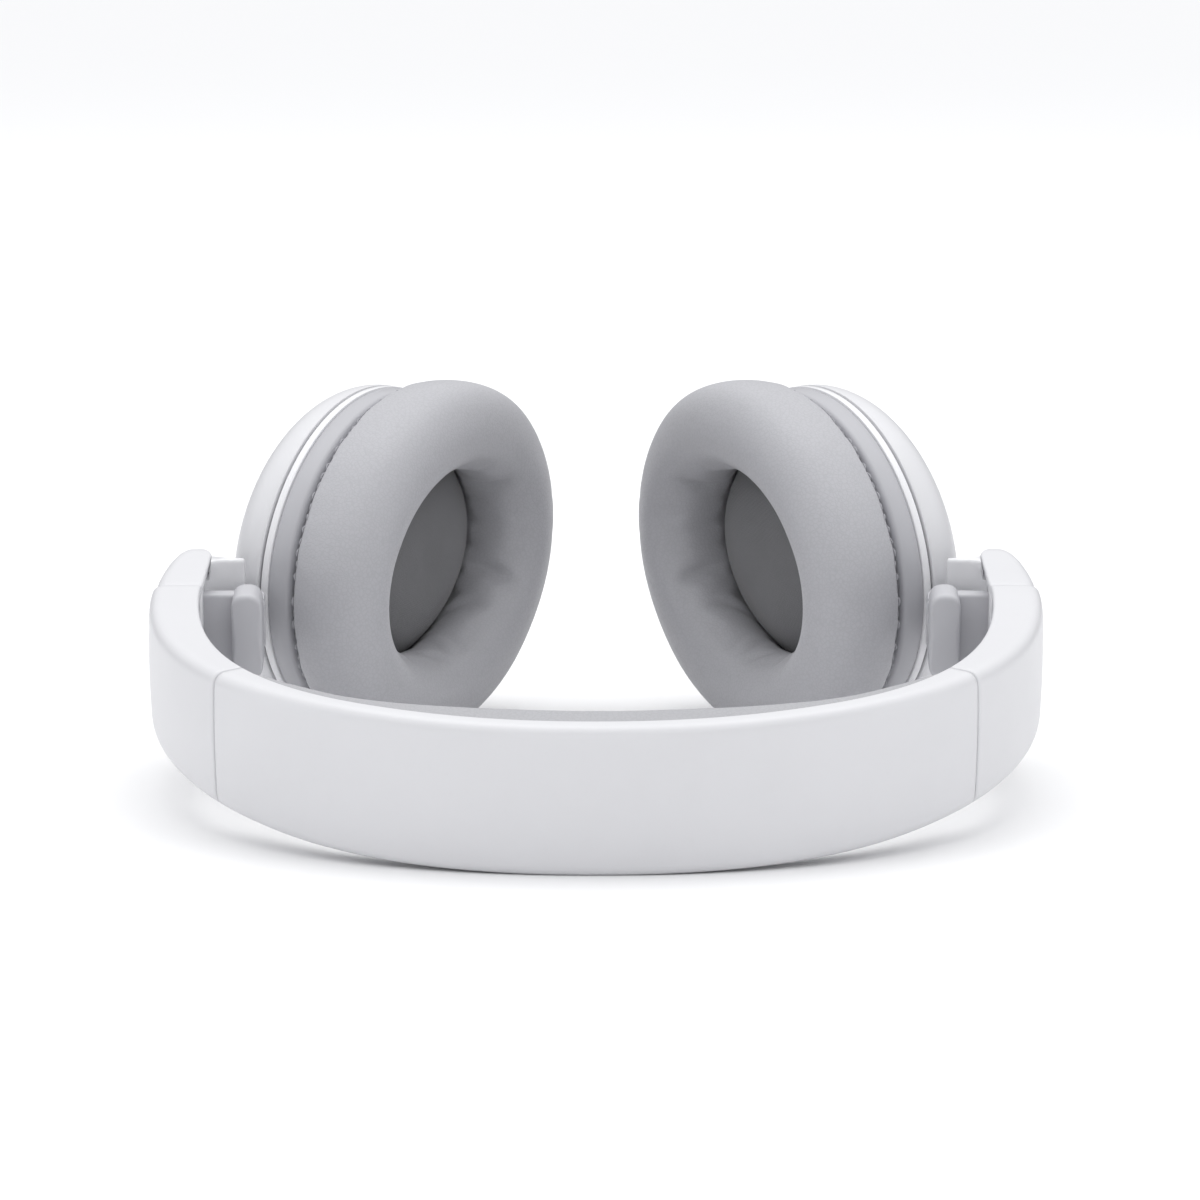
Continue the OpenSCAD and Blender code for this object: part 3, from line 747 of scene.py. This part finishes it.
def lip(side):
    """The white lip between the dark gap and the grey ring, with the driver plate inside it."""
    a, b = CUP_A - 0.1, CUP_B - 0.1
    prof = [(-5.2, a - 0.35, b - 0.35), (-5.28, a - 0.1, b - 0.1), (-5.5, a, b), (-6.5, a, b),
            (-6.72, a - 0.1, b - 0.1), (-6.8, a - 0.35, b - 0.35), (-6.8, a - 1.2, b - 1.2),
            (SEAM_T, a - 1.2, b - 1.2), (SEAM_T, a - 6, b - 6), (SEAM_T, 24, 23), (SEAM_T, 20.2, 20.2),
            (-4.0, 20.2, 20.2), (-4.0, 24, 23), (-4.0, 35.5, 25.5), (-4.3, 35.8, 25.8), (-5.2, 35.8, 25.8)]
    ob = oval_ring(f"{side}_cup_lip", prof, side)
    sharpen(ob, 40)
    give(ob, M["white_lip_and_lit_wall"], f"{side}_cup", f"{side}_baffle", slot="white_plastic")
    # Painted shade: a near-black ring set into the seam under the lip darkens the gap between housing and
    # lip.
    prof = [(-7.27, a - 1.05, b - 1.05), (-6.83, a - 1.05, b - 1.05),
            (-6.83, a - 1.9, b - 1.9), (-7.27, a - 1.9, b - 1.9)]
    give(oval_ring(f"{side}_cup_seam_shade_ring", prof, side), M["gap"], f"{side}_cup", slot="dark_plastic")


def ring(side):
    """The grey ring that carries the cushion."""
    a, b = CUP_A - 0.45, CUP_B - 0.45
    prof = [(-5.18, a - 0.5, b - 0.5), (-5.1, a - 0.15, b - 0.15), (-4.8, a, b), (-1.3, a + 0.1, b + 0.1),
            (-0.75, a - 0.05, b - 0.05), (-0.35, a - 0.5, b - 0.5), (-0.1, a - 1.3, b - 1.3),
            (-0.06, a - 3, b - 3), (-0.06, 37.2, 27.2), (-0.3, 36.6, 26.6),
            (-1.2, 36.2, 26.2), (-5.18, 36.2, 26.2)]
    ob = oval_ring(f"{side}_cushion_base", prof, side)
    sharpen(ob, 45)
    give(ob, M["grey"], f"{side}_cup", f"{side}_cushion_ring", slot="grey_plastic")


def scrim(side):
    """The ear cloth over the driver's domed guard: near flat in the middle, rolling down all round."""
    def point(k, w):
        t = 8.0 - 9.3 * k ** 4.7 + 0.08 * math.sin(3 * w + 1.3) * k * (1 - k) * 4
        return Vector((t, 35.4 * k * math.cos(w), 25.4 * k * (0.955 + 0.045 * k ** 8) * math.sin(w)))
    rows = []
    n, steps = 128, 46
    for j in range(1, steps + 1):
        k = (j / steps) ** 0.8
        rows.append([point(k, 2 * math.pi * i / n) for i in range(n)])
    back = [Vector((-1.95, 35.4 * math.cos(2 * math.pi * i / n), 25.4 * math.sin(2 * math.pi * i / n)))
            for i in range(n)]
    v, f = grid(rows + [back])
    v += [Vector((8.0, 0, 0)), Vector((-1.95, 0, 0))]
    k, m = len(v) - 2, steps * n
    f += [(k, (i + 1) % n, i) for i in range(n)] + [(k + 1, m + i, m + (i + 1) % n) for i in range(n)]
    ob = new_object(f"{side}_ear_cloth", v, f, lay(side, CUP))
    sharpen(ob, 60)
    give(ob, M["cloth"], f"{side}_cup", f"{side}_scrim", slot="ear_cloth")


# Profile of the cushion as [inwards, half height, half width], from the seam at the ring round and back
CUSHION = [(0.1, 41.9, 33.1), (0.9, 43.5, 34.6), (2.2, 44.9, 35.7), (4.2, 46.3, 36.5), (6.8, 47.4, 37.05),
           (9.5, 47.9, 37.3), (12.2, 47.9, 37.2), (14.8, 47.2, 36.6), (17.0, 45.8, 35.3), (18.8, 43.6, 33.2),
           (20.0, 41.2, 30.5), (20.6, 38.8, 27.4), (20.4, 36.6, 24.7), (19.4, 34.8, 22.5), (17.6, 33.4, 20.8),
           (15.2, 32.6, 19.9), (12.2, 32.2, 19.6), (9.0, 32.3, 19.8), (6.0, 32.7, 20.8), (3.4, 33.1, 22.2),
           (1.4, 33.9, 23.7), (0.1, 35.4, 25.4)]


def smooth_closed(points, per):
    """A closed curve through the points, as a Catmull-Rom spline."""
    out, n = [], len(points)
    for i in range(n):
        p0, p1, p2, p3 = (Vector(points[(i + k) % n]) for k in (-1, 0, 1, 2))
        for s in range(per):
            t = s / per
            out.append(0.5 * (2 * p1 + (p2 - p0) * t + (2 * p0 - 5 * p1 + 4 * p2 - p3) * t * t
                              + (3 * p1 - p0 - 3 * p2 + p3) * t ** 3))
    return out


def cushion(side):
    """The ear cushion: leatherette blown up over foam by a cloth simulation, sewn down at both seams."""
    n = 144
    prof = smooth_closed(CUSHION, 2)
    prof = prof[:-1]
    rows = [oval(*p, n) for p in prof]
    v, f = grid(rows, close_rows=True)
    m = lay(side, CUP)
    ob = new_object(f"{side}_ear_cushion", v, f, None)
    rest = [x.co.copy() for x in ob.data.vertices]
    seams = ob.vertex_groups.new(name="sewn")
    for x in ob.data.vertices:
        t = x.co.x
        hold = 1.0 if t < 1.8 else max(0.0, 0.25 - (t - 1.2) * 0.2)
        if hold > 0:
            seams.add([x.index], hold, "REPLACE")
    puff(ob, rest)
    pucker(ob)
    seam = [ob.data.vertices[4 * n + i % n].co.copy() for i in range(n + 1)]
    path = [(p, Vector((-0.25, p.y / CUSHION_A, p.z / CUSHION_B)).normalized()) for p in seam]
    thread(f"{side}_cushion_stitches", path, 0.20, 2.6, M["thread"], f"{side}_cup", m)
    ob.data.transform(m)
    for x in ob.data.vertices:
        if x.co.z < TABLE_START:
            x.co.z = TABLE_GAP + 0.0005 * math.exp((x.co.z - TABLE_START) / 0.0005)
    ob.data.update()
    bm = bmesh.new()
    bm.from_mesh(ob.data)
    bmesh.ops.recalc_face_normals(bm, faces=bm.faces)
    bm.to_mesh(ob.data)
    bm.free()
    ob.vertex_groups.clear()
    give(ob, M["leather"], f"{side}_cup", f"{side}_cushion", slot="leatherette")
    sub = ob.modifiers.new("finer", "SUBSURF")
    sub.levels = sub.render_levels = 1
    return ob


SIM_SCALE = 0.01
SIM_FRAMES = 14
MOST_MOVE = 0.9
TABLE_START, TABLE_GAP = 0.0006, 0.0001


def puff(ob, rest):
    """Simulates the skin over the foam, in a mesh scaled down from millimetres.

    Moves longer than MOST_MOVE are cut back, so that the skin stays near the foam.
    """
    scene = bpy.context.scene
    scale = SIM_SCALE
    for x in ob.data.vertices:
        x.co *= scale
    cl = ob.modifiers.new("cloth", "CLOTH")
    st = cl.settings
    st.quality = 6
    st.mass = 0.2
    st.tension_stiffness = st.compression_stiffness = 12
    st.shear_stiffness = 6
    st.bending_stiffness = 0.6
    st.shrink_min = st.shrink_max = -0.035
    st.use_pressure = True
    st.uniform_pressure_force = 2.2
    st.vertex_group_mass = "sewn"
    st.pin_stiffness = 1.0
    st.effector_weights.gravity = 0.0
    cl.collision_settings.use_collision = False
    cl.collision_settings.use_self_collision = False
    cl.point_cache.frame_start, cl.point_cache.frame_end = 1, SIM_FRAMES
    for k in range(1, SIM_FRAMES + 1):
        scene.frame_set(k)
    dg = bpy.context.evaluated_depsgraph_get()
    done = ob.evaluated_get(dg).data
    moved = [x.co / scale for x in done.vertices]
    ob.modifiers.clear()
    scene.frame_set(1)
    for x, a, b in zip(ob.data.vertices, rest, moved):
        d = b - a
        if d.length > MOST_MOVE:
            d *= MOST_MOVE / d.length * (1 + 0.15 * math.log(d.length / MOST_MOVE))
        x.co = a + d


def pucker(ob):
    """Small gathers where the skin is sewn down, and slow hand-made unevenness."""
    for x in ob.data.vertices:
        t, a, b = x.co
        w = math.atan2(b / CUSHION_B, a / CUSHION_A)
        r = math.hypot(a / CUSHION_A, b / CUSHION_B)
        inner = math.exp(-((r - 0.70) / 0.06) ** 2) * math.exp(-((t - 4.0) / 4.0) ** 2)
        outer = math.exp(-((t - 3.0) / 2.2) ** 2) if r > 0.85 else 0.0
        fold = noise.noise(Vector((math.cos(w) * 9, math.sin(w) * 9, t * 0.06)))
        fine = noise.noise(Vector((math.cos(w) * 22, math.sin(w) * 22, t * 0.10 + 4)))
        slow = noise.noise(Vector((a, b, t)) * 0.055)
        amount = 0.55 * inner * fold + 0.30 * inner * fine + 0.16 * outer * fine + 0.22 * slow * min(t / 6, 1)
        out = Vector((0.25 * (t - 8) / 8, a / CUSHION_A, b / CUSHION_B))
        if r < 0.80:
            out = -out
        if t > 1.0:
            x.co += out.normalized() * amount


for side in SIDES:
    lip(side)
    ring(side)
    scrim(side)
    cushion(side)

# ---------------------------------------------------------------- hinges


def merge(name, *obs):
    """Joins finished meshes into one object."""
    me = bpy.data.meshes.new(name)
    bm = bmesh.new()
    for ob in obs:
        bm.from_mesh(ob.data)
        bpy.data.objects.remove(ob)
    bm.to_mesh(me)
    bm.free()
    out = bpy.data.objects.new(name, me)
    bpy.context.scene.collection.objects.link(out)
    return out


def lathe(name, profile, axis, matrix, n=56):
    """Turns a closed outline of (along, radius) about an axis through the origin of the frame."""
    rows = []
    for i in range(n):
        w = 2 * math.pi * i / n
        c, s = math.cos(w), math.sin(w)
        rows.append([Vector({"x": (h, r * c, r * s), "y": (r * c, h, r * s), "z": (r * c, r * s, h)}[axis])
                     for h, r in profile])
    v, f = grid(rows, close_rows=True)
    ob = new_object(name, v, f, matrix)
    sharpen(ob, 45)
    return ob


def scoop(m):
    """The wall that closes the arm's end, sweeping from the slider's plate in towards the cup."""
    fx, fy, fr = -1.4, -3.5, 7.5  # the fillet's centre and radius
    inner = [(-8.9, -6.0)]
    turns = [math.radians(6 * i) for i in range(16)]
    inner += [(fx - fr * math.cos(a), fy + fr * math.sin(a)) for a in turns]
    inner += [(-1.2, 4.05), (-1.05, 4.2), (-1.0, 4.4), (-1.0, 4.95), (-1.1, 5.2), (-1.35, 5.3)]
    section = inner + [(-5.0, 5.3), (-7.7, 5.3), (-9.4, 5.3), (-9.95, 5.05), (-10.2, 4.5), (-10.2, -6.0)]
    rows = []
    # Heights across the wall, and how far its edge is rounded there; -1 leaves the section as it is
    for z, by in ((-11.3, 0.5), (-11.15, 0.2), (-10.8, 0.0), (-10.3, 0.0), (-9.96, 0.0),
                  (-9.95, -1), (-5, -1), (0, -1), (5, -1), (9.95, -1),
                  (9.96, 0.0), (10.3, 0.0), (10.8, 0.0), (11.15, 0.2), (11.3, 0.5)):
        row = []
        for x, y in section:
            lift = 0.5 * ease((-3.0 - x) / 4.7) if abs(z) > 10.5 else 0.0
            if by >= 0:
                y = min(y, 5.3 - by) if y > 4.6 else y + by
                x = min(max(x, -7.74), -1.0 - by)
            row.append(Vector((x, y, z + math.copysign(lift, z))))
        rows.append(row)
    v, f = grid(rows, caps=True)
    ob = new_object("p", v, f, m)
    sharpen(ob, 35)
    carve(ob, [prism("c", circle(5.3, n=72), 1.5, 6.5, "y", m)])
    return ob


def hanger(side):
    m = lay(side, ARM)
    boss = prism("p", rounded(6.2, 18, 3.05), -14, -5, "y", m, 1.1)
    carve(boss, [prism("c", circle(2.05), -12.6, -3, "y", m),
                 prism("c", [(-2.9, -2.9), (4.2, -2.9), (4.2, 2.9), (-2.9, 2.9)], -9.95, -9.05, "y", m)])
    web = prism("p", rounded(7.4, 15.6, 0.8, -5.9, 0), -9.2, -5.6, "y", m, 0.7)
    plate = prism("p", rounded(19.4, 18.4, 2.0, -6.7, 0), -10.2, -8.9, "x", m, 0.2)
    carve(plate, [prism("c", circle(0.95, 2.2, z), -12, -8, "x", m) for z in (-5, 5)])
    block = prism("p", rounded(2.8, 16.6, 0.4, -11.6, 0), -16.2, 3.4, "y", m, 0.2)
    slot = [(-12.12, -7.02), (-10.58, -7.02), (-10.58, 7.02), (-12.12, 7.02)]
    carve(block, [prism("c", slot, -18, 0.02, "y", m)])
    ob = merge(f"{side}_hanger_body", boss, block, web)
    sharpen(ob, 45)
    # Painted shade: the hanger's white plastic boss, web and block take the darker grey.
    give(ob, M["inner"], f"{side}_slider", f"{side}_hanger", slot="white_plastic")
    ob = merge(f"{side}_hanger_wall", scoop(m), plate)
    sharpen(ob, 45)
    # Painted highlight: the white plastic end wall and plate take the lighter lip white.
    give(ob, M["white_lip_and_lit_wall"], f"{side}_slider", slot="white_plastic")


def knuckle(side):
    m = lay(side, ARM)
    shaft = lathe("p", [(-12.4, 0.02), (-12.4, 1.7), (-12.1, 2.0), (-9.92, 2.0), (-9.9, 1.4), (-9.1, 1.4),
                        (-9.08, 2.0), (-4, 2.0), (-4, 0.02)], "y", m)
    base = prism("p", rounded(6.8, 10.4, 1.4), -4.9, -3.5, "y", m, 0.35)
    cheek = [(3.2 * math.cos(a), 3.2 * math.sin(a)) for a in (math.radians(180 * i / 28) for i in range(29))]
    cheek += [(-3.2, -3.6), (3.2, -3.6)]
    parts = [shaft, base]
    for z in (-5.2, 2.8):
        c = prism("p", cheek, z, z + 2.4, "z", m, 0.35)
        carve(c, [prism("c", circle(1.55), z - 1, z + 4, "z", m)])
        parts.append(c)
    ob = merge(f"{side}_knuckle_body", *parts)
    sharpen(ob, 45)
    # Painted shade: the white plastic knuckle takes the darker grey.
    give(ob, M["inner"], f"{side}_knuckle", f"{side}_knuckle", slot="white_plastic")


def bracket(side):
    """A lug round the tilt pin that hooks into the housing."""
    m = lay(side, CUP)
    hx, hy = -4.993, -51.76
    lug = [(hx + 3.2 * math.cos(a), hy + 3.2 * math.sin(a))
           for a in (math.radians(-155 + 213 * i / 36) for i in range(37))]
    lug += [(-7.4, -46.4), (-7.4, -36.2), (-11.4, -36.2), (-11.4, -45.4)]
    hook = prism("p", lug, -2.65, 2.65, "z", m, 0.3)
    carve(hook, [prism("c", circle(1.5, hx, hy), -4, 4, "z", m)])
    foot = prism("p", [(-11.3, -38.2), (-7.5, -38.2), (-7.5, -36.1), (-11.3, -36.1)], -8, 8, "z", m, 0.2)
    ob = merge(f"{side}_bracket_lug", hook, foot)
    sharpen(ob, 40)
    give(ob, M["steel"], f"{side}_cup", f"{side}_cup_bracket", slot="spring_steel")


def tilt_pin(side):
    m = lay(side, ARM)
    profile = [(-5.4, 0.02), (-5.4, 1.25), (-5.15, 1.5), (5.15, 1.5), (5.4, 1.25), (5.4, 0.02)]
    ob = lathe(f"{side}_pin", profile, "z", m, 40)
    give(ob, M["steel"], f"{side}_cup", f"{side}_tilt_pin", slot="spring_steel")


for side in SIDES:
    hanger(side)
    knuckle(side)
    bracket(side)
    tilt_pin(side)

# ---------------------------------------------------------------- buttons and ports


def button(side, name, u):
    """A domed cap with a rolled edge, on its stem."""
    m = lay(side, CUP) @ Matrix.Translation(Vector((BUTTON_T, u, 0)))
    top = -0.6 - (CUP_B - 0.8) * math.sqrt(1 - (u / CUP_A) ** 2)
    flange = 0.35 - 29.4 * math.sqrt(1 - ((abs(u) + 3) / 37.5) ** 2)
    prof = [(top, 0.02), (top + 0.02, 1.0), (top + 0.10, 1.7), (top + 0.28, 2.15), (top + 0.6, 2.4),
            (flange, 2.4), (flange, 2.9), (flange + 0.8, 2.9), (flange + 0.8, 0.02)]
    ob = lathe(f"{name}_cap", prof, "z", m, 48)
    give(ob, M["button"], name, name, slot="button_plastic")
    dish = [(top - 0.01, 0.5), (top - 0.05, 0.62), (top + 0.04, 0.74), (top + 0.06, 0.5)]
    dot = lathe(f"{name}_mark", dish, "z", m, 32)
    give(dot, M["grey"], name, slot="button_plastic")


for side in SIDES:
    for name, u in BUTTONS[side].items():
        button(side, name, u)


def ports():
    m = lay("left", CUP)
    at = Matrix.Translation(Vector((PORT_T, 0, 8.5)))
    jack = lathe("jack_barrel", [(26, 0.02), (26, 3.15), (40.6, 3.15), (41, 2.8), (41, 2.15),
                                 (40.6, 1.8), (27, 1.8),
                                 (27, 0.02)], "y", m @ at, 56)
    give(jack, M["dark"], "left_cup", "jack_socket", slot="dark_plastic")
    collar = lathe("jack_collar", [(41.05, 1.95), (41.3, 2.1), (41.3, 2.6), (41.05, 2.8),
                                   (40.9, 2.8), (40.9, 1.95)],
                   "y", m @ at, 56)
    give(collar, M["nickel"], "left_cup", slot="nickel")
    shell = prism("p", rounded(3.2, 8.4, 1.5, PORT_T, -8), 33.2, 40.8, "y", m, 0.1)
    carve(shell, [prism("c", rounded(2.5, 7.7, 1.2, PORT_T, -8), 34.2, 43, "y", m)])
    tongue = prism("p", rounded(0.7, 6, 0.3, PORT_T, -8), 34.1, 40.2, "y", m, 0.1)
    ob = merge("usb_shell", shell, tongue)
    sharpen(ob, 45)
    give(ob, M["nickel"], "left_cup", "usb_port", slot="nickel")
    lens = lathe("status_light", [(38.6, 0.02), (38.6, 0.85), (42.1, 0.85), (42.3, 0.7), (42.4, 0.02)], "y",
                 m @ Matrix.Translation(Vector((PORT_T, 0, 1.2))), 32)
    give(lens, M["lens"], "left_cup", "status_lens", slot="lens")


ports()


def mic(side):
    """A woven steel disc, dished into its hole."""
    m = lay(side, CUP) @ Matrix.Translation(Vector((PORT_T, 0, 16.5)))
    ob = lathe(f"{side}_mic_grille", [(34.8, 0.02), (34.8, 1.4), (36.7, 1.4),
                                      (36.8, 1.2), (36.6, 0.8), (36.5, 0.02)],
               "y", m, 40)
    give(ob, M["cloth"], f"{side}_cup", f"{side}_mic_mesh", slot="ear_cloth")


for side in SIDES:
    mic(side)

for sign, name in ((1, "front"), (-1, "back")):
    path = []
    for i in range(241):
        th = (i / 240 * 2 - 1) * (PAD_TH - 1.5)
        _, (d, z) = pad_section(th)
        n = arch_in(th)
        normal = Vector((n[0] * 0.75, n[1] * 0.75, sign * 0.66)).normalized()
        path.append((arch_pt(th, d + 0.18, sign * (z + 0.55)), normal))
    thread(f"band_stitches_{name}", path, 0.30, 2.7, M["thread_pad"], "headband", lay())

# ---------------------------------------------------------------- finish on the CAD nodes that stay

FINISH = {"spring_band": "steel", "battery": "foil", "charge_board": "board", "main_board": "board"}
for side in SIDES:
    for part, look in (("rail_guide", "dark"), ("detent_spring", "steel"), ("band_anchor", "dark"),
                       ("arm_screws", "screw"), ("slider_strip", "steel"), ("hanger_screws", "screw"),
                       ("knuckle_clip", "steel"), ("driver_frame", "dark"), ("driver_magnet", "nickel"),
                       ("diaphragm", "film"), ("housing_screws", "screw")):
        FINISH[f"{side}_{part}"] = look
for name, look in FINISH.items():
    ob = frame["nodes"][name]
    ob.data.materials.clear()
    ob.data.materials.append(M[look])

# ---------------------------------------------------------------- stage, lights and camera

MIDDLE = LAY @ Vector((0, 0, 0))
floor_mat = Shader("mat_floor", (0.90, 0.90, 0.905), 0.7)
floor_mat.vary_rough(floor_mat.noise(3.0, 2), 0.65, 0.75)
corners = [(-60, -60, 0), (60, -60, 0), (60, 60, 0), (-60, 60, 0)]
floor = new_object("floor", corners, [(0, 1, 2, 3)], None, False)
floor.data.materials.append(floor_mat.mat)


def area(name, where, size, power, color=(1, 1, 1)):
    light = bpy.data.lights.new(name, "AREA")
    light.shape, light.size, light.size_y = "RECTANGLE", size[0], size[1]
    light.energy, light.color = power, color
    ob = bpy.data.objects.new(name, light)
    bpy.context.scene.collection.objects.link(ob)
    ob.location = where
    ob.rotation_euler = (Vector((0, 0, 0.03)) - Vector(where)).to_track_quat("-Z", "Y").to_euler()
    return ob


area("overhead", (0, 0.5, 2.4), (2.4, 2.0), 20, (1.0, 0.998, 0.99))
area("front", (0, -1.9, 0.14), (0.7, 0.24), 3, (1.0, 1.0, 1.0))
area("left_side", (-1.5, -0.25, 0.2), (0.7, 0.35), 1.6, (0.98, 0.99, 1.0))
area("right_side", (1.5, -0.25, 0.2), (0.7, 0.35), 1.6, (0.98, 0.99, 1.0))

# The studio's ceiling is one big white scrim and its walls are dimmer
world = bpy.data.worlds.new("studio")
bpy.context.scene.world = world
world.use_nodes = True
nodes, links = world.node_tree.nodes, world.node_tree.links
where = nodes.new("ShaderNodeTexCoord")
split = nodes.new("ShaderNodeSeparateXYZ")
span = nodes.new("ShaderNodeMapRange")
span.interpolation_type = "SMOOTHSTEP"
for key, value in (("From Min", -0.02), ("From Max", 0.7), ("To Min", 0.05), ("To Max", 1.28)):
    span.inputs[key].default_value = value
links.new(where.outputs["Generated"], split.inputs[0])
links.new(split.outputs["Z"], span.inputs["Value"])
links.new(span.outputs["Result"], nodes["Background"].inputs["Strength"])
nodes["Background"].inputs["Color"].default_value = (0.985, 0.99, 1.0, 1)
bpy.context.scene.view_settings.view_transform = "Standard"

# A long lens in front of the crown, looking down on the headband's plane
DISTANCE, ELEVATION, FOCAL_PX, SHEET_PX = 904.0, math.radians(17.67), 4439.0, 1200.0
eye = LAY @ Vector((0, -DISTANCE * math.cos(ELEVATION), DISTANCE * math.sin(ELEVATION)))
look = (MIDDLE - eye).normalized()
right = look.cross(Vector((0, 0, 1))).normalized()
up = right.cross(look)
target = MIDDLE + right * (4 / FOCAL_PX * DISTANCE * MM) + up * (28 / FOCAL_PX * DISTANCE * MM)
camera = bpy.data.cameras.new("camera")
camera.sensor_width = 36
camera.lens = 36 * FOCAL_PX / SHEET_PX
camera.clip_start, camera.clip_end = 0.05, 50
cam = bpy.data.objects.new("camera", camera)
bpy.context.scene.collection.objects.link(cam)
cam.location = eye
cam.rotation_euler = (target - eye).to_track_quat("-Z", "Y").to_euler()
bpy.context.scene.camera = cam
